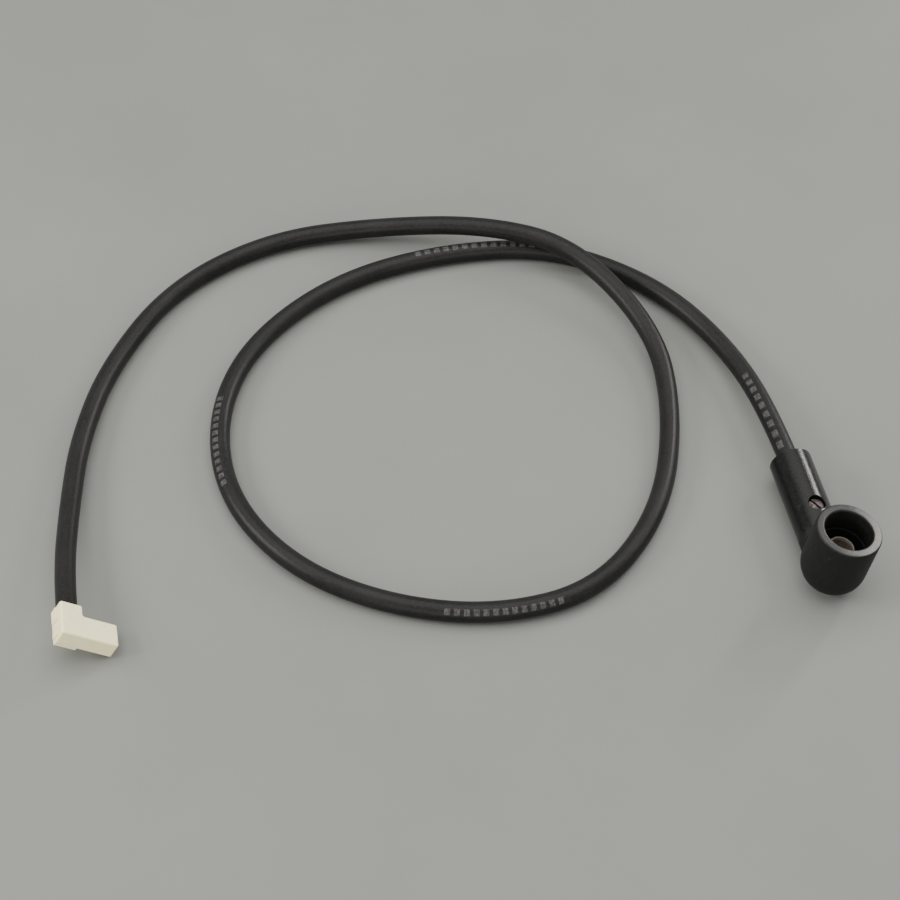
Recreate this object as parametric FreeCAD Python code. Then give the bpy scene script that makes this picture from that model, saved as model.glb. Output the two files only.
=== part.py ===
"""Flame sensor lead: a single-core high-voltage cable with a right-angle socket and a push-on plug.

Row frame, in millimetres: the lead lies on the plane z = 0. +Y runs along the socket's stem towards the
cable, +Z is up, and the origin is under the middle of the socket.
"""
import FreeCAD, Part
import math
import os

Vector = FreeCAD.Vector
Placement = FreeCAD.Placement
Rotation = FreeCAD.Rotation

# ---------------------------------------------------------------- cable
sheath_d = 7.0
insulation_d = 3.8
core_d = 1.3
layer_gap = 0.05            # radial gap between one layer and the next

# ---------------------------------------------------------------- right-angle socket, in its own frame:
# the origin is where the cup's axis crosses the stem's, +Y along the stem, +Z out of the cup
cup_d = 22.0
cup_top = 19.75             # rim, above the stem's axis
cup_bore_d = 16.0
cup_seat_d = 15.0           # narrower bore under the shoulder that stops the electrode's insulator
cup_seat_z = 11.0
cup_floor_z = 5.0
cup_heel_r = 10.0           # the closed end is almost a dome
rim_r = 0.8
stem_d = 14.5
stem_length = 47.0
stem_chamfer = (3.0, 1.5)   # along the stem, across it
socket_roll = 9.2           # degrees, the way the socket leans where it lies
socket_at = Vector(-1.68, -18.0, 7.45)

block_d = 6.9
block_gap = 0.05
block_start = -5.2
block_end = 28.6
block_flat_z = 3.0          # flat that the contact sleeve stands on
block_flat_end = 4.6

sleeve_d = 8.5
sleeve_bore_d = 6.5
sleeve_top = 11.0
sleeve_base = 1.2
sleeve_lead_in = 0.45       # chamfer inside the mouth
sleeve_slot = 0.9           # the slot that parts the sleeve into two jaws
sleeve_slot_foot = 5.6
sleeve_slot_turn = -31.0    # degrees from +X
sleeve_tail_d = 3.0
sleeve_tail_foot = -2.4
groove_z = 9.0
groove_depth = 0.35
groove_h = 0.8
spring_wire_d = 0.7
spring_clearance = 0.01
spring_gap = 40.0           # degrees of the ring left open

screw_y = 22.0
screw_head_d = 5.5
screw_head_h = 2.0
screw_head_foot = 3.75
screw_thread_d = 3.0
screw_foot = 0.75
screw_slot = (0.8, 0.9)     # width, depth
screw_slot_turn = 35.0      # degrees from +X
screw_edge_r = 0.35
screw_point = 0.5           # chamfer at the thread's foot
screw_recess_d = 6.0
running_gap = 0.06

sheath_end_y = 31.0         # where each layer of the cable stops inside the stem
insulation_end_y = 28.8
core_end_y = 18.0
core_hole_extra = 0.5       # the hole in the block runs this far past the core's end

# ---------------------------------------------------------------- push-on plug, in its own frame:
# the origin is where the cable enters, +Y back along the cable, +X along the tongue, +Z the top face
heel_w = 7.8
heel_depth = 13.6
plug_length = 19.8
tongue_depth = 9.1
plug_top = 3.5
body_foot = -2.3            # underside of the housing, where the cover starts
cover_foot = -3.5
cover_edge_r = 0.4
plug_wall = 0.8
plug_edge_r = 0.75
plug_roll = 34.0            # degrees about the cable, tongue down
latch_arms = ((-6.2, -1.0), (-12.4, -10.4))
latch_proud = 0.5
latch_top = 0.6

tab_width = 6.3             # the flat tab that the plug pushes onto
tab_thickness = 0.8
tab_side_gap = 0.1
tab_top_gap = 0.05
sheet = 0.4                 # the strip that the receptacle and its crimps are bent from
receptacle_w = tab_width + 2 * (sheet + tab_side_gap)
receptacle_curl_r = 1.1
receptacle_foot = -1.1
receptacle_x = (7.0, 15.2)
web_w = 3.2                 # from the receptacle to the core's crimp
strip_w = 1.4               # from the core's crimp down to the insulation's
strip_bend = 0.4            # length taken by each bend of that strip
core_crimp_y = (-9.6, -5.9)
insulation_crimp_y = (-4.2, -1.6)
insulation_crimp_wall = 0.28
insulation_in_plug = 4.6
core_in_plug = 9.3

# ---------------------------------------------------------------- the cable's route, plug to socket.
# It runs straight out of the plug a little above the table, makes one loop, passes over itself in a long
# low hump, and ends inside the stem.
route = [Vector(*point) for point in (
    (-249.3, 11.9, 10.25),
    (-249.2, 29, 8.4),
    (-245.5, 57, 5.8),
    (-240, 87, 4),
    (-227, 120, 3.5),
    (-200, 155, 3.5),
    (-161, 173, 3.5),
    (-120, 171, 5),
    (-81, 157, 12),
    (-51, 139, 12),
    (-31, 98, 6),
    (-34, 60, 3.5),
    (-49, 19, 3.5),
    (-77, -9, 3.5),
    (-112, -13, 3.5),
    (-147, -2, 3.5),
    (-176, 20, 3.5),
    (-193, 53, 3.5),
    (-192, 90, 3.5),
    (-175, 122, 3.5),
    (-141, 146, 3.5),
    (-100, 154, 3.5),
    (-58, 149, 3.5),
    (-24, 122, 3.5),
    (-7, 86, 4.5),
    (socket_at.x, 48, socket_at.z),
    (socket_at.x, socket_at.y + sheath_end_y, socket_at.z),
)]
arc_share = 0.45            # of the shorter run, taken up by each side of a bend

overrun = 1.0               # how far a cutting shape runs past the face that it opens
joint_lap = 0.1             # how far two shapes run into each other before they become one
small = 0.01                # for picking edges by where they lie


def cylinder(diameter, foot, top, centre=(0, 0)):
    """A cylinder along Z between two heights."""
    return Part.makeCylinder(diameter / 2, top - foot, Vector(centre[0], centre[1], foot))


def bar(diameter, start, end):
    """A cylinder along Y, on the Y axis."""
    return Part.makeCylinder(diameter / 2, end - start, Vector(0, start, 0), Vector(0, 1, 0))


def block(x, y, z):
    """A box between two values on each axis."""
    return Part.makeBox(x[1] - x[0], y[1] - y[0], z[1] - z[0], Vector(x[0], y[0], z[0]))


def prism(outline, direction):
    """A closed outline swept straight along a direction."""
    points = [Vector(*point) for point in outline]
    return Part.Face(Part.makePolygon(points + points[:1])).extrude(Vector(*direction))


def edges_where(shape, test):
    """The edges of a shape whose middle point and length pass a test."""
    return [edge for edge in shape.Edges if test(edge.CenterOfMass, edge.Length)]


# ================================================================ socket
def make_socket_housing():
    cup = cylinder(cup_d, -stem_d / 2, cup_top)
    foot_edge = edges_where(cup, lambda c, length: abs(c.z + stem_d / 2) < small and length > cup_d)
    cup = cup.makeFillet(cup_heel_r, foot_edge[:1])
    along, across = stem_chamfer
    stem = bar(stem_d, 0, stem_length)
    mouth_edge = edges_where(stem, lambda c, length: abs(c.y - stem_length) < small and length > stem_d)
    stem = stem.makeChamfer(across, along, mouth_edge[:1])
    body = cup.fuse(stem).removeSplitter()
    body = body.cut(cylinder(cup_bore_d, cup_seat_z, cup_top + overrun))
    body = body.cut(cylinder(cup_seat_d, cup_floor_z, cup_seat_z + joint_lap))
    rim_edges = edges_where(body, lambda c, length: abs(c.z - cup_top) < small and length > cup_bore_d)
    body = body.makeFillet(rim_r, rim_edges)
    body = body.cut(cylinder(sleeve_d + 2 * block_gap, 0, cup_floor_z + overrun))
    body = body.cut(bar(block_d + 2 * block_gap, block_start - block_gap, block_end + overrun))
    body = body.cut(bar(sheath_d + 2 * layer_gap, block_end + block_gap, stem_length + overrun))
    return body.cut(cylinder(screw_recess_d, 0, stem_d, (0, screw_y)))


def make_terminal_block():
    body = bar(block_d, block_start, block_end)
    half = block_d / 2
    body = body.cut(block((-half, half), (block_start - overrun, block_flat_end),
                          (block_flat_z, half + overrun)))
    body = body.cut(bar(core_d + 2 * layer_gap, core_end_y - core_hole_extra, block_end + overrun))
    body = body.cut(cylinder(screw_thread_d + 2 * running_gap, 0, half + overrun, (0, screw_y)))
    return body.cut(cylinder(sleeve_tail_d + 2 * layer_gap, -half - overrun, half + overrun))


def make_contact_sleeve():
    """A tube parted into two jaws at its top, closed at its foot, with a tail that fits the block."""
    tube = cylinder(sleeve_d, block_flat_z, sleeve_top)
    tube = tube.cut(cylinder(sleeve_bore_d, block_flat_z + sleeve_base, sleeve_top + overrun))
    bore_length = math.pi * sleeve_bore_d + small
    mouth = edges_where(tube, lambda c, length: abs(c.z - sleeve_top) < small and length < bore_length)
    tube = tube.makeChamfer(sleeve_lead_in, mouth)
    slot = block((-sleeve_d, sleeve_d), (-sleeve_slot / 2, sleeve_slot / 2),
                 (sleeve_slot_foot, sleeve_top + overrun))
    slot.rotate(Vector(0, 0, 0), Vector(0, 0, 1), sleeve_slot_turn)
    groove = cylinder(sleeve_d + overrun, groove_z - groove_h / 2, groove_z + groove_h / 2)
    groove = groove.cut(cylinder(sleeve_d - 2 * groove_depth, groove_z - groove_h, groove_z + groove_h))
    tail = cylinder(sleeve_tail_d, sleeve_tail_foot, block_flat_z + joint_lap)
    return tube.cut(slot).cut(groove).fuse(tail).removeSplitter()


def make_contact_spring():
    """The open wire ring in the sleeve's groove that keeps its jaws together."""
    radius = sleeve_d / 2 - groove_depth + spring_wire_d / 2 + spring_clearance
    section = Part.Wire(Part.makeCircle(spring_wire_d / 2, Vector(radius, 0, groove_z), Vector(0, 1, 0)))
    ring = Part.Face(section).revolve(Vector(0, 0, 0), Vector(0, 0, 1), 360 - spring_gap)
    ring.rotate(Vector(0, 0, 0), Vector(0, 0, 1), spring_gap / 2)
    return ring


def make_terminal_screw():
    head_top = screw_head_foot + screw_head_h
    head = cylinder(screw_head_d, screw_head_foot, head_top, (0, screw_y))
    head = head.makeFillet(screw_edge_r, edges_where(head, lambda c, length: abs(c.z - head_top) < small))
    width, depth = screw_slot
    slot = block((-width / 2, width / 2), (screw_y - screw_head_d, screw_y + screw_head_d),
                 (head_top - depth, head_top + overrun))
    slot.rotate(Vector(0, screw_y, 0), Vector(0, 0, 1), screw_slot_turn)
    thread = cylinder(screw_thread_d, screw_foot, screw_head_foot + joint_lap, (0, screw_y))
    foot_edge = edges_where(thread, lambda c, length: abs(c.z - screw_foot) < small)
    thread = thread.makeChamfer(screw_point, foot_edge)
    return head.cut(slot).fuse(thread).removeSplitter()


# ================================================================ plug
def plug_outline(z):
    """The L of the plug seen from above, at one height."""
    left, right, tip = -heel_w / 2, heel_w / 2, plug_length - heel_w / 2
    back = tongue_depth - heel_depth
    return [(left, 0, z), (right, 0, z), (right, back, z), (tip, back, z), (tip, -heel_depth, z),
            (left, -heel_depth, z)]


def latch(proud, clearance):
    """The cover's latch arms, which rise along the heel's left side."""
    left = -heel_w / 2
    arms = [block((left - proud, left + plug_wall / 2 + clearance), (y0 - clearance, y1 + clearance),
                  (body_foot - joint_lap, latch_top + clearance)) for y0, y1 in latch_arms]
    return arms[0].fuse(arms[1])


def make_plug_housing():
    body = prism(plug_outline(body_foot), (0, 0, plug_top - body_foot))
    outside = edges_where(body, lambda c, length: c.z > body_foot + small)
    body = body.makeFillet(plug_edge_r, outside)
    half = heel_w / 2 - plug_wall
    near = -heel_depth + plug_wall
    roof = plug_top - plug_wall
    body = body.cut(block((-half, half), (near, -plug_wall), (body_foot - overrun, roof)))
    tongue_back = tongue_depth - heel_depth - plug_wall
    body = body.cut(block((0, plug_length), (near, tongue_back), (body_foot + plug_wall, roof)))
    body = body.cut(bar(insulation_d + 2 * layer_gap, -heel_depth / 2, overrun))
    return body.cut(latch(overrun, layer_gap))


def make_plug_cover():
    left, right = -heel_w / 2, heel_w / 2
    plate = block((left, right), (-heel_depth, 0), (cover_foot, body_foot))
    plate = plate.makeFillet(cover_edge_r, edges_where(plate, lambda c, length: c.z < body_foot - small))
    return plate.fuse(latch(latch_proud, 0)).removeSplitter()


def make_receptacle(middle):
    """The sheet box that grips the tab: a flat base with both sides curled over."""
    start, end = receptacle_x
    foot = receptacle_foot
    reach = receptacle_w / 2 - receptacle_curl_r
    curls = []
    for side in (-1, 1):
        centre = Vector(start, middle + side * reach, foot + receptacle_curl_r)
        curl = Part.makeCylinder(receptacle_curl_r, end - start, centre, Vector(1, 0, 0))
        curl = curl.cut(Part.makeCylinder(receptacle_curl_r - sheet, end - start, centre, Vector(1, 0, 0)))
        inner = sorted((middle, middle + side * reach))
        tab = block((start, end), inner, (foot + sheet, foot + sheet + tab_thickness + tab_top_gap))
        curls.append(curl.cut(tab))
    base = block((start, end), (middle - reach, middle + reach), (foot, foot + sheet))
    return base.fuse(curls).removeSplitter()


def make_crimp_strip():
    """The strip that steps down from the core's crimp to the insulation's."""
    high = receptacle_foot
    low = -insulation_d / 2 - layer_gap
    core_end = core_crimp_y[1]
    start = insulation_crimp_y[0]
    side = -strip_w / 2
    outline = [(side, core_end - strip_bend, high), (side, core_end - strip_bend, high + sheet),
               (side, start - strip_bend, low), (side, start + strip_bend, low),
               (side, start + strip_bend, low - insulation_crimp_wall),
               (side, start - strip_bend, low - insulation_crimp_wall)]
    return prism(outline, (strip_w, 0, 0))


def make_plug_terminal():
    """A push-on receptacle with its crimps at a right angle, all from one strip of sheet."""
    middle = tongue_depth / 2 - heel_depth
    web = block((-strip_w / 2, receptacle_x[0] + joint_lap), (middle - web_w / 2, middle + web_w / 2),
                (receptacle_foot, receptacle_foot + sheet))
    core_hole = core_d + 2 * layer_gap
    core_crimp = bar(core_hole + 2 * sheet, *core_crimp_y)
    insulation_hole = insulation_d + 2 * layer_gap
    insulation_crimp = bar(insulation_hole + 2 * insulation_crimp_wall, *insulation_crimp_y)
    metal = make_receptacle(middle).fuse([web, core_crimp, insulation_crimp, make_crimp_strip()])
    metal = metal.cut(bar(core_hole, core_crimp_y[0] - overrun, core_crimp_y[1] + overrun))
    start, end = insulation_crimp_y
    metal = metal.cut(bar(insulation_hole, start - strip_bend, end + overrun))
    return metal.removeSplitter()


# ================================================================ cable
def extended(points, before, after):
    """The route with its first and last runs lengthened."""
    first = points[0] + (points[0] - points[1]).normalize() * before
    last = points[-1] + (points[-1] - points[-2]).normalize() * after
    return [first] + points[1:-1] + [last]


def bends(points):
    """For each inner point of a route: where its arc starts, its middle and its end, and its radius."""
    result = []
    for before, here, after in zip(points, points[1:], points[2:]):
        back, ahead = before - here, after - here
        reach = arc_share * min(back.Length, ahead.Length)
        half_turn = (math.pi - back.getAngle(ahead)) / 2
        radius = reach / math.tan(half_turn)
        inward = (back.normalize() + ahead.normalize()).normalize()
        middle = here + inward * (radius / math.cos(half_turn) - radius)
        result.append((here + back * reach, middle, here + ahead * reach, radius))
    return result


def cable_path(before, after):
    """Straight runs joined by tangent arcs."""
    arcs = bends(route)
    points = extended(route, before, after)
    edges = []
    here = points[0]
    for start, middle, end, radius in arcs:
        edges.append(Part.LineSegment(here, start).toShape())
        edges.append(Part.Arc(start, middle, end).toShape())
        here = end
    edges.append(Part.LineSegment(here, points[-1]).toShape())
    return Part.Wire(edges)


def make_layer(outer_d, inner_d, before, after):
    """One layer of the cable, swept along the route."""
    path = cable_path(before, after)
    start = path.Edges[0].valueAt(path.Edges[0].FirstParameter)
    direction = route[1] - route[0]
    disc = Part.Face(Part.Wire(Part.makeCircle(outer_d / 2, start, direction)))
    solid = path.makePipe(disc)
    section = disc.Area
    if inner_d:
        hole = Part.Face(Part.Wire(Part.makeCircle(inner_d / 2, start, direction)))
        solid = solid.cut(path.makePipe(hole))
        section -= hole.Area
    print("layer %.1f mm: length %.1f, volume %.1f, section x length %.1f"
          % (outer_d, path.Length, solid.Volume, section * path.Length))
    return solid


# ================================================================ assembly
socket_place = Placement(socket_at, Rotation(Vector(0, 1, 0), socket_roll))


def plug_place():
    """The plug's Y axis carries on the cable's first run, and the plug is rolled about it."""
    along = (route[1] - route[0]).normalize()
    level = along.cross(Vector(0, 0, 1)).normalize()
    upright = level.cross(along)
    roll = math.radians(plug_roll)
    sideways = level * math.cos(roll) - upright * math.sin(roll)
    up = level * math.sin(roll) + upright * math.cos(roll)
    return Placement(route[0], Rotation(sideways, along, up, "YXZ"))


def placed(shape, place):
    copy = shape.copy()
    copy.Placement = place.multiply(copy.Placement)
    return copy


def build():
    nodes = {}
    for name, shape in (("socket_housing", make_socket_housing()),
                        ("terminal_block", make_terminal_block()),
                        ("contact_sleeve", make_contact_sleeve()),
                        ("contact_spring", make_contact_spring()),
                        ("terminal_screw", make_terminal_screw())):
        nodes[name] = placed(shape, socket_place)
    for name, shape in (("plug_housing", make_plug_housing()),
                        ("plug_cover", make_plug_cover()),
                        ("plug_terminal", make_plug_terminal())):
        nodes[name] = placed(shape, plug_place())
    nodes["cable_sheath"] = make_layer(sheath_d, insulation_d + 2 * layer_gap, 0, 0)
    nodes["cable_insulation"] = make_layer(insulation_d, core_d + 2 * layer_gap, insulation_in_plug,
                                           sheath_end_y - insulation_end_y)
    nodes["cable_core"] = make_layer(core_d, 0, core_in_plug, sheath_end_y - core_end_y)
    print("bend radii, mm:", ", ".join("%.0f" % bend[3] for bend in bends(route)))
    return nodes


def main():
    os.makedirs("parts", exist_ok=True)
    nodes = build()
    for name, shape in nodes.items():
        if not shape.isValid():
            print("not valid:", name)
        shape.exportStep("parts/%s.step" % name)
        box = shape.BoundBox
        print("%-18s solids %d  volume %8.1f  x %.2f %.2f  y %.2f %.2f  z %.2f %.2f"
              % (name, len(shape.Solids), shape.Volume, box.XMin, box.XMax, box.YMin, box.YMax,
                 box.ZMin, box.ZMax))


main()
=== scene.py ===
"""The looks of a flame sensor lead: a high-voltage cable with a right-angle socket and a push-on plug."""

import math

import bpy
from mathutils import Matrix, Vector


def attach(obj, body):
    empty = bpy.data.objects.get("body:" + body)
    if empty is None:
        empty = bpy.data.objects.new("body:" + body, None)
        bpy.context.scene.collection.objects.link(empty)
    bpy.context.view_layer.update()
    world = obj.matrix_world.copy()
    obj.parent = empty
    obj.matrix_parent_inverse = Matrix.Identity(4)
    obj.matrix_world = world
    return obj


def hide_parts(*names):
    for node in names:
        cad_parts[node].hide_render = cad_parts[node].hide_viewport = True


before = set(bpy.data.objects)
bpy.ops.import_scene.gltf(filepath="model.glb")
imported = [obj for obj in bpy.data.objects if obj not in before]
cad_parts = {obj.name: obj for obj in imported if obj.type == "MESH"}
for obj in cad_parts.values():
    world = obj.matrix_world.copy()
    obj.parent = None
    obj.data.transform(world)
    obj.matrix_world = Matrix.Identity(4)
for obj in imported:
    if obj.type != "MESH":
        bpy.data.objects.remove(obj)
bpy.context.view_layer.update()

MM = 0.001

# ---------------------------------------------------------------- the object's own sizes, in metres
CABLE_D = 7.0 * MM
ROUTE = [Vector(point) * MM for point in (
    (-249.3, 11.9, 10.25),
    (-249.2, 29, 8.4),
    (-245.5, 57, 5.8),
    (-240, 87, 4),
    (-227, 120, 3.5),
    (-200, 155, 3.5),
    (-161, 173, 3.5),
    (-120, 171, 5),
    (-81, 157, 12),
    (-51, 139, 12),
    (-31, 98, 6),
    (-34, 60, 3.5),
    (-49, 19, 3.5),
    (-77, -9, 3.5),
    (-112, -13, 3.5),
    (-147, -2, 3.5),
    (-176, 20, 3.5),
    (-193, 53, 3.5),
    (-192, 90, 3.5),
    (-175, 122, 3.5),
    (-141, 146, 3.5),
    (-100, 154, 3.5),
    (-58, 149, 3.5),
    (-24, 122, 3.5),
    (-7, 86, 4.5),
    (-1.68, 48, 7.45),
    (-1.68, 13, 7.45),
)]
SOCKET_AT = Vector((-1.68, -18.0, 7.45)) * MM
SOCKET_ROLL = math.radians(9.2)
CUP_AXIS = Vector((math.sin(SOCKET_ROLL), 0, math.cos(SOCKET_ROLL)))
CUP_TOP = 19.75 * MM
CUP_R = 11.0 * MM

# ---------------------------------------------------------------- the cable's rows of dashes
# places along the cable are parts of its length from the plug, and heights are parts of its girth
DASH_START = 0.516
DASH_PITCH = 0.1475
DASH_ROW = 0.045
DASHES = 13
DASH_SHARE = 0.6            # of each step, that is printed
DASH_HALF_HEIGHT = 0.052
# the rows start on the outside of the loop, and wind slowly over its top towards the socket
DASH_SIDE = 0.097
DASH_SIDE_AT_END = 0.314
DASH_WINDS_FROM = 0.62

# ---------------------------------------------------------------- camera, light and floor, in metres
CAMERA_AT = Vector((-202.3, -385.6, 551.0)) * MM
CAMERA_TURN = 11.2          # degrees, clockwise from +Y seen from above
CAMERA_DIP = 50.4           # degrees below the horizon
CAMERA_REACH = (0.01, 10)
LENS = 82.0                 # millimetres, as is the sensor
SENSOR = 36.0

SKY_COLOUR = (0.93, 0.97, 1.0, 1)
SKY_STRENGTH = 0.55
MIDDLE = Vector((-0.12, 0.08, 0))
SOCKET_MIDDLE = Vector((0, 0.01, 0.014))
# each light's name, what it shines on, its place from there, its size, its watts and its colour
LIGHTS = (
    ("overhead", MIDDLE, (0, 0.10, 1.3), (1.8, 1.6), 30, (1.0, 0.985, 0.96)),
    ("left", MIDDLE, (-0.80, 0.05, 0.50), (0.45, 0.30), 7.5, (1.0, 0.97, 0.94)),
    ("right", MIDDLE, (0.90, 0.20, 0.50), (0.60, 0.40), 4, (1.0, 0.98, 0.96)),
    ("front", MIDDLE, (-0.25, -1.15, 0.45), (1.5, 0.5), 9, (1.0, 0.98, 0.95)),
    # a tall narrow window, low on the far right
    ("window", SOCKET_MIDDLE, (0.72, 0.57, 0.48), (0.09, 0.36), 4.0, (1.0, 0.97, 0.92)),
)
FLOOR_HALF = 3.0


def new_object(name, data):
    obj = bpy.data.objects.new(name, data)
    bpy.context.scene.collection.objects.link(obj)
    return obj


# ================================================================ materials
class Look:
    """A Principled material and the nodes that feed it."""

    def __init__(self, name, values):
        self.material = bpy.data.materials.new(name)
        self.material.use_nodes = True
        self.tree = self.material.node_tree
        self.shader = self.tree.nodes["Principled BSDF"]
        self.place = self.tree.nodes.new("ShaderNodeTexCoord")
        for socket, value in values.items():
            self.shader.inputs[socket].default_value = value

    def node(self, kind, inputs, **settings):
        """A new node's first output. An input is another node's output, or a plain value."""
        node = self.tree.nodes.new(kind)
        for name, value in settings.items():
            setattr(node, name, value)
        for key, value in inputs.items():
            if isinstance(value, bpy.types.NodeSocket):
                self.tree.links.new(value, node.inputs[key])
            else:
                node.inputs[key].default_value = value
        return node.outputs[0]

    def calc(self, operation, *values):
        """The result of one sum on one or two values."""
        return self.node("ShaderNodeMath", dict(enumerate(values)), operation=operation)

    def stretched(self, scale, source="Object"):
        """The surface's place, scaled along each axis. Features are shorter where the scale is larger."""
        return self.node("ShaderNodeMapping", {"Vector": self.place.outputs[source], "Scale": scale})

    def noise(self, scale, detail=3.0, rough=0.55, where=None):
        """Cloudy noise, with its scale in features a metre. Most of it lies between 0.3 and 0.7."""
        inputs = {"Vector": where or self.place.outputs["Object"], "Scale": scale, "Detail": detail,
                  "Roughness": rough}
        return self.node("ShaderNodeTexNoise", inputs)

    def ramp(self, factor, low, high, to_low=0.0, to_high=1.0):
        """A factor's stretch from low to high, spread over another stretch and clamped."""
        return self.node("ShaderNodeMapRange", {"Value": factor, "From Min": low, "From Max": high,
                                                "To Min": to_low, "To Max": to_high})

    def spread(self, noise, to_low=0.0, to_high=1.0):
        """Cloudy noise, spread over another stretch."""
        return self.ramp(noise, 0.3, 0.7, to_low, to_high)

    def mix(self, factor, first, second):
        """One colour turning into another."""
        mixer = self.node("ShaderNodeMix", {0: factor, 6: first, 7: second}, data_type="RGBA")
        return mixer.node.outputs[2]

    def between(self, factor, first, second):
        """One value turning into another."""
        return self.node("ShaderNodeMix", {0: factor, 2: first, 3: second})

    def facing(self, axis):
        """How squarely the surface faces along an axis: one where it does, nought side on."""
        normal = self.node("ShaderNodeNewGeometry", {}).node.outputs["Normal"]
        product = self.node("ShaderNodeVectorMath", {0: normal, 1: axis}, operation="DOT_PRODUCT")
        return product.node.outputs["Value"]

    def feed(self, socket, output):
        self.tree.links.new(output, self.shader.inputs[socket])

    def bumps(self, *layers):
        """Relief, as pairs of a height and how deep it goes in metres, laid over each other."""
        normal = None
        for height, depth in layers:
            inputs = {"Height": height, "Strength": 1.0, "Distance": depth}
            if normal:
                inputs["Normal"] = normal
            normal = self.node("ShaderNodeBump", inputs)
        self.feed("Normal", normal)


def grey(value, warmth):
    return (value * (1 + warmth), value, value * (1 - warmth), 1.0)


def socket_places(look):
    """The surface's place in the socket's own frame, with the cup's axis as Z and the stem along Y."""
    from_socket = look.node("ShaderNodeVectorMath",
                            {0: look.place.outputs["Object"], 1: SOCKET_AT}, operation="SUBTRACT")
    turned_back = look.node("ShaderNodeVectorRotate", {"Vector": from_socket, "Axis": (0, 1, 0),
                                                       "Angle": -SOCKET_ROLL}, rotation_type="AXIS_ANGLE")
    return look.node("ShaderNodeSeparateXYZ", {"Vector": turned_back}).node.outputs


def socket_moulding():
    """Black moulding: satin on the cup, glossy on the stem, and pale on the flat rim, partly worn and partly
    a painted highlight.
    """
    look = Look("socket_moulding", {"Specular IOR Level": 0.20})
    own = socket_places(look)
    blotch = look.noise(900, 4, 0.6)
    # how far up the rim's rounded edge the pale wear and painted highlight reach is uneven
    height = look.calc("ADD", own["Z"], look.spread(blotch, -0.12 * MM, 0.12 * MM))
    at_rim = look.ramp(height, CUP_TOP - 0.45 * MM, CUP_TOP - 0.15 * MM)
    flat = look.ramp(look.facing(CUP_AXIS), 0.72, 0.93)
    rim = look.calc("MULTIPLY", at_rim, flat)
    # and the rim is painted lighter towards the front right, a painted highlight, with uneven wear laid over
    # it
    painted_highlight_side = look.calc("SUBTRACT", own["X"], look.calc("MULTIPLY", own["Y"], 0.5))
    uneven = look.spread(blotch, -2 * MM, 2 * MM)
    wear_and_painted_highlight = look.ramp(look.calc("ADD", painted_highlight_side, uneven), -2 * MM, 12 * MM)
    pale = look.mix(wear_and_painted_highlight, grey(0.022, 0.03), grey(0.15, 0.05))

    dust = look.ramp(look.noise(2600, 6, 0.75), 0.56, 0.74)
    scuffs = look.ramp(look.noise(330, 7, 0.8), 0.60, 0.68, 0, 0.6)
    black = look.mix(look.ramp(blotch, 0.35, 0.7), grey(0.0035, 0.03), grey(0.0075, 0.05))
    dusty = look.mix(look.calc("MULTIPLY", dust, 0.22), black, grey(0.05, 0.06))
    scuffed = look.mix(scuffs, dusty, grey(0.035, 0.05))
    look.feed("Base Color", look.mix(rim, scuffed, pale))

    on_stem = look.ramp(own["Y"], CUP_R, CUP_R + 3 * MM)
    satin = look.spread(blotch, 0.50, 0.64)
    gloss = look.spread(blotch, 0.17, 0.27)
    rim_roughness = 0.33
    look.feed("Roughness", look.between(rim, look.between(on_stem, satin, gloss), rim_roughness))
    fine = look.noise(9000, 2, 0.5)
    look.bumps((fine, 0.012 * MM), (blotch, 0.02 * MM))
    return look.material


def sheath_rubber():
    """Soft black rubber with drawn streaks along it, dust, and a faint row of plain dashes."""
    look = Look("sheath_rubber", {"Specular IOR Level": 0.13})
    streaks = look.noise(4, 5, 0.6, look.stretched((1.5, 30, 1), source="UV"))
    patches = look.noise(60, 4, 0.6)
    dust = look.ramp(look.noise(2200, 6, 0.8), 0.58, 0.76)
    grain = look.noise(1300, 3, 0.7)
    plain = look.mix(look.spread(streaks), grey(0.004, 0.02), grey(0.010, 0.03))
    rubber = look.mix(look.ramp(grain, 0.42, 0.72), plain, grey(0.016, 0.05))
    worn = look.mix(look.ramp(patches, 0.4, 0.75, 0, 0.35), rubber, grey(0.020, 0.03))
    dusty = look.mix(look.calc("MULTIPLY", dust, 0.25), worn, grey(0.06, 0.05))
    look.feed("Base Color", look.mix(dash_mask(look), dusty, grey(0.075, 0.03)))
    look.feed("Roughness", look.ramp(streaks, 0.25, 0.75, 0.29, 0.44))
    fine = look.noise(7000, 2, 0.5)
    look.bumps((streaks, 0.03 * MM), (grain, 0.03 * MM), (fine, 0.012 * MM))
    return look.material


def dash_mask(look):
    """One where a dash is printed: plain strokes of one size, in rows that repeat along the cable."""
    cable = look.node("ShaderNodeSeparateXYZ", {"Vector": look.place.outputs["UV"]}).node.outputs
    along = look.calc("SUBTRACT", cable["X"], DASH_START)
    in_row = look.calc("MODULO", along, DASH_PITCH)
    row = look.calc("MULTIPLY", look.calc("LESS_THAN", in_row, DASH_ROW),
                    look.calc("GREATER_THAN", along, 0.0))
    step = look.calc("FRACT", look.calc("MULTIPLY", in_row, DASHES / DASH_ROW))
    stroke = look.calc("LESS_THAN", step, DASH_SHARE)
    side = look.ramp(cable["X"], DASH_WINDS_FROM, 1.0, DASH_SIDE, DASH_SIDE_AT_END)
    off_middle = look.calc("ABSOLUTE", look.calc("SUBTRACT", cable["Y"], side))
    band = look.calc("LESS_THAN", off_middle, DASH_HALF_HEIGHT)
    printed = look.calc("MULTIPLY", look.calc("MULTIPLY", row, stroke), band)
    worn = look.ramp(look.noise(1500, 4, 0.7), 0.38, 0.62, 0.15, 0.9)
    return look.calc("MULTIPLY", printed, worn)


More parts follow.
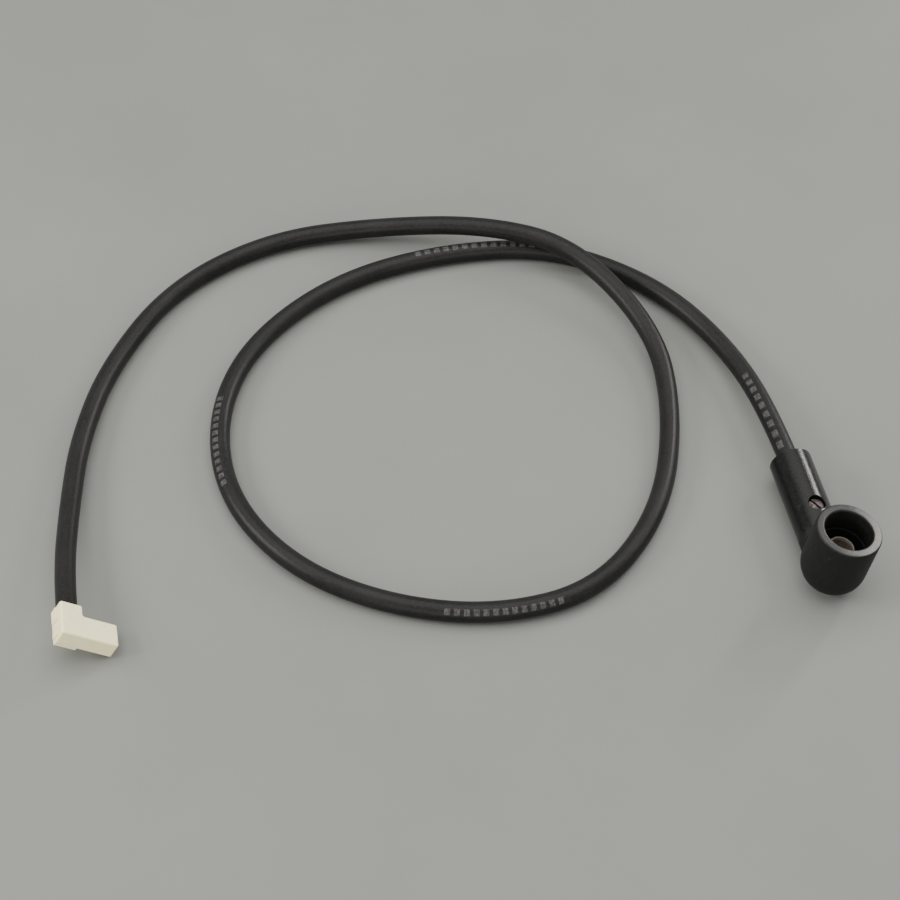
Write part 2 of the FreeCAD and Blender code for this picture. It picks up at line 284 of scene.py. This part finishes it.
def nylon(name):
    """Cream nylon: a moulded skin with a fine grain and a little handling dirt."""
    look = Look(name, {"Subsurface Weight": 0.4, "Subsurface Radius": (2.4 * MM, 1.8 * MM, 1.1 * MM),
                       "Subsurface Scale": 1.0, "Specular IOR Level": 0.5})
    cream = (0.97, 0.84, 0.49)
    shade = 0.93
    clouds = look.noise(260, 4, 0.6)
    dirt = look.ramp(look.noise(1400, 6, 0.75), 0.56, 0.78, 0, 0.35)
    clean = look.mix(look.spread(clouds), (*cream, 1.0), (*(part * shade for part in cream), 1.0))
    look.feed("Base Color", look.mix(dirt, clean, (0.50, 0.43, 0.32, 1)))
    look.feed("Roughness", look.spread(clouds, 0.38, 0.52))
    fine = look.noise(5200, 2, 0.5)
    look.bumps((fine, 0.018 * MM), (clouds, 0.05 * MM))
    return look.material


def metal(name, bright, dull, roughness, grain=(1, 1, 1)):
    """Bare metal: turned or drawn grain, with tarnish in patches."""
    look = Look(name, {"Metallic": 1.0})
    tarnish = look.ramp(look.noise(900, 5, 0.65), 0.35, 0.65)
    lines = look.noise(3000, 3, 0.6, look.stretched(grain))
    look.feed("Base Color", look.mix(tarnish, bright, dull))
    look.feed("Roughness", look.calc("ADD", look.ramp(tarnish, 0, 1, roughness, roughness + 0.18),
                                     look.spread(lines, -0.05, 0.08)))
    look.bumps((lines, 0.01 * MM))
    return look.material


def contact_brass():
    """Tarnished brass, its colour set by which way it faces: brown in the bore, painted shade darkest on the
    lead-in, and a darker tone on the flat lip.
    """
    look = Look("contact_brass", {"Metallic": 0.3})
    upward = look.facing(CUP_AXIS)
    tarnish = look.ramp(look.noise(1100, 5, 0.7), 0.35, 0.65)
    lines = look.noise(3000, 3, 0.6, look.stretched((1, 1, 7)))
    bore = look.mix(tarnish, (0.21, 0.168, 0.125, 1), (0.12, 0.094, 0.068, 1))
    # painted shade: the lead-in, facing partly up inside the cup, is painted darkest
    bore_and_painted_shade = look.mix(look.ramp(upward, 0.3, 0.6), bore, (0.045, 0.037, 0.028, 1))
    lip = look.mix(tarnish, (0.13, 0.112, 0.09, 1), (0.085, 0.073, 0.058, 1))
    look.feed("Base Color", look.mix(look.ramp(upward, 0.85, 0.95), bore_and_painted_shade, lip))
    look.feed("Roughness", look.spread(lines, 0.46, 0.64))
    look.bumps((lines, 0.01 * MM))
    return look.material


def insulation_plastic():
    """A plain inner plastic with faint drawing marks."""
    look = Look("insulation_plastic", {})
    marks = look.noise(1800, 4, 0.6)
    look.feed("Base Color", look.mix(look.spread(marks), (0.62, 0.60, 0.54, 1), (0.70, 0.68, 0.62, 1)))
    look.feed("Roughness", look.spread(marks, 0.36, 0.50))
    look.bumps((marks, 0.01 * MM))
    return look.material


def dress_nodes():
    looks = {
        "socket_housing": socket_moulding(),
        "terminal_block": metal("terminal_brass", (0.62, 0.45, 0.20, 1), (0.40, 0.28, 0.13, 1), 0.3,
                                (1, 6, 6)),
        "contact_sleeve": contact_brass(),
        "contact_spring": metal("spring_steel", (0.42, 0.42, 0.43, 1), (0.30, 0.29, 0.28, 1), 0.3),
        "terminal_screw": metal("screw_steel", (0.12, 0.103, 0.10, 1), (0.05, 0.042, 0.04, 1), 0.5),
        "cable_insulation": insulation_plastic(),
        "cable_core": metal("core_copper", (0.62, 0.56, 0.50, 1), (0.50, 0.40, 0.32, 1), 0.36, (1, 9, 9)),
        "plug_housing": nylon("plug_nylon"),
        "plug_cover": nylon("cover_nylon"),
        "plug_terminal": metal("tinned_brass", (0.62, 0.61, 0.57, 1), (0.46, 0.44, 0.38, 1), 0.33, (6, 1, 1)),
    }
    for name, material in looks.items():
        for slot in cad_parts[name].material_slots:
            slot.material = material


# ================================================================ cable
def make_cable():
    data = bpy.data.curves.new("cable", "CURVE")
    data.dimensions = "3D"
    data.twist_mode = "Z_UP"
    spline = data.splines.new("NURBS")
    spline.points.add(len(ROUTE) - 1)
    for point, place in zip(spline.points, ROUTE):
        point.co = (*place, 1)
    spline.order_u = 3
    spline.use_endpoint_u = True
    spline.resolution_u = 16
    data.bevel_depth = CABLE_D / 2
    data.bevel_resolution = 10
    data.use_fill_caps = True
    data.materials.append(sheath_rubber())
    cable = new_object("cable", data)
    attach(cable, "lead")
    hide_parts("cable_sheath")


# ================================================================ camera, light and floor
def make_camera():
    data = bpy.data.cameras.new("camera")
    data.sensor_width = SENSOR
    data.lens = LENS
    data.clip_start, data.clip_end = CAMERA_REACH
    camera = new_object("camera", data)
    camera.location = CAMERA_AT
    camera.rotation_euler = (math.radians(90 - CAMERA_DIP), 0, math.radians(-CAMERA_TURN))
    bpy.context.scene.camera = camera


def make_lights():
    world = bpy.data.worlds.new("studio")
    world.use_nodes = True
    sky = world.node_tree.nodes["Background"].inputs
    sky["Color"].default_value = SKY_COLOUR
    sky["Strength"].default_value = SKY_STRENGTH
    bpy.context.scene.world = world
    for name, target, offset, size, power, colour in LIGHTS:
        data = bpy.data.lights.new(name, "AREA")
        data.shape = "RECTANGLE"
        data.size, data.size_y = size
        data.energy = power
        data.color = colour
        light = new_object(name, data)
        light.location = target + Vector(offset)
        light.rotation_euler = (target - light.location).to_track_quat("-Z", "Y").to_euler()


def make_floor():
    """A plain painted sheet, lightly clouded and grained."""
    mesh = bpy.data.meshes.new("floor")
    corners = [(x * FLOOR_HALF, y * FLOOR_HALF, 0) for x, y in ((-1, -1), (1, -1), (1, 1), (-1, 1))]
    mesh.from_pydata(corners, [], [(0, 1, 2, 3)])
    look = Look("floor", {"Specular IOR Level": 0.3})
    clouds = look.noise(9, 5, 0.6)
    look.feed("Base Color", look.mix(look.spread(clouds), (0.146, 0.150, 0.139, 1), (0.162, 0.166, 0.154, 1)))
    look.feed("Roughness", look.spread(clouds, 0.5, 0.62))
    look.bumps((look.noise(1500, 3, 0.6), 0.03 * MM))
    mesh.materials.append(look.material)
    new_object("floor", mesh)


make_camera()
make_cable()
make_lights()
make_floor()
dress_nodes()
